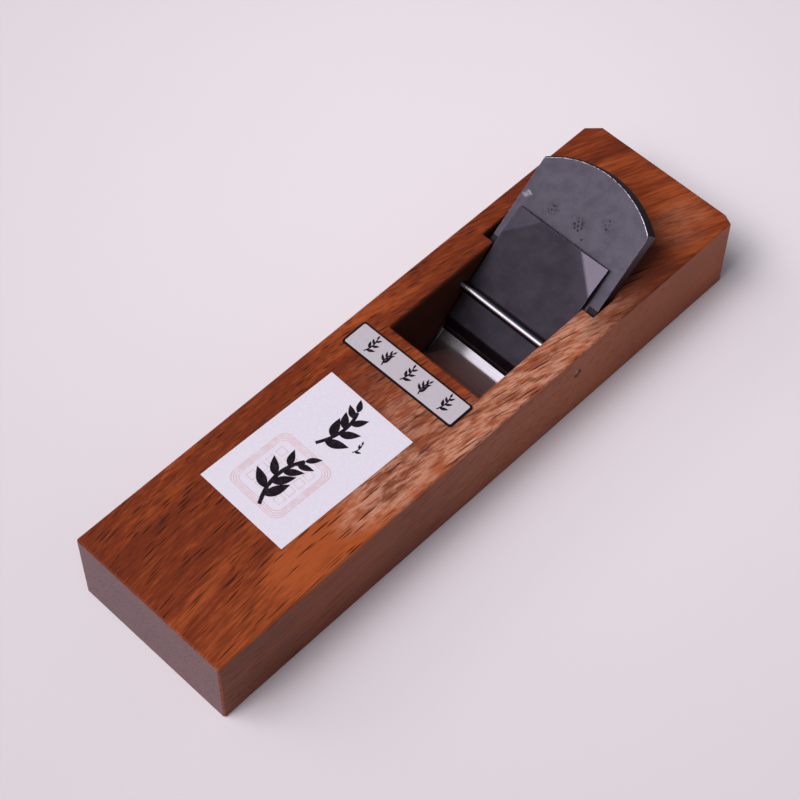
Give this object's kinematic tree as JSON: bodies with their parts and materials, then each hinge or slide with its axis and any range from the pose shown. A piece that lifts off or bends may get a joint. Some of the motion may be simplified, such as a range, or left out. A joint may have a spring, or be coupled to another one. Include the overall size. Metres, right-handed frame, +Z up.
{
  "type": "japanese hand plane",
  "caption": "Japanese pull plane (kanna): a low oak block with a raked, round-headed laminated blade, a cap iron with bent corners, and a steel pin across the open throat.",
  "frame": {"origin": "in the plane of the sole, midway between the block's sides and midway between its ends", "axes": "+X across the block towards the pin's open end, +Y along the block towards the blade's head, +Z up from the sole"},
  "size_m": [0.0572, 0.2136, 0.0494],
  "materials": {
    "oak": "oiled, satin",
    "forged_iron": "forged grey, satin",
    "blade_steel": "polished",
    "blackened_iron": "blackened, satin",
    "bright_steel": "bright",
    "white_paper": "matt",
    "silver_paper": "semi-gloss"
  },
  "bodies": {
    "block": {"dai_block": "oak", "pressing_pin": "bright_steel", "paper_label": "white_paper", "strip_label": "silver_paper"},
    "blade": {"blade_iron": "forged_iron", "blade_steel": "blade_steel"},
    "cap": {"cap_iron": "blackened_iron", "cap_steel": "blackened_iron"}
  },
  "joints": [
    {"name": "blade_slide", "type": "slide", "parent": "block", "child": "blade", "axis": [0, 0.7809, 0.6247], "range_m": [-0.0008, 0.045]},
    {"name": "cap_slide", "type": "slide", "parent": "blade", "child": "cap", "axis": [0, 0.766, 0.6428], "range_m": [-0.009, 0.035]}
  ]
}
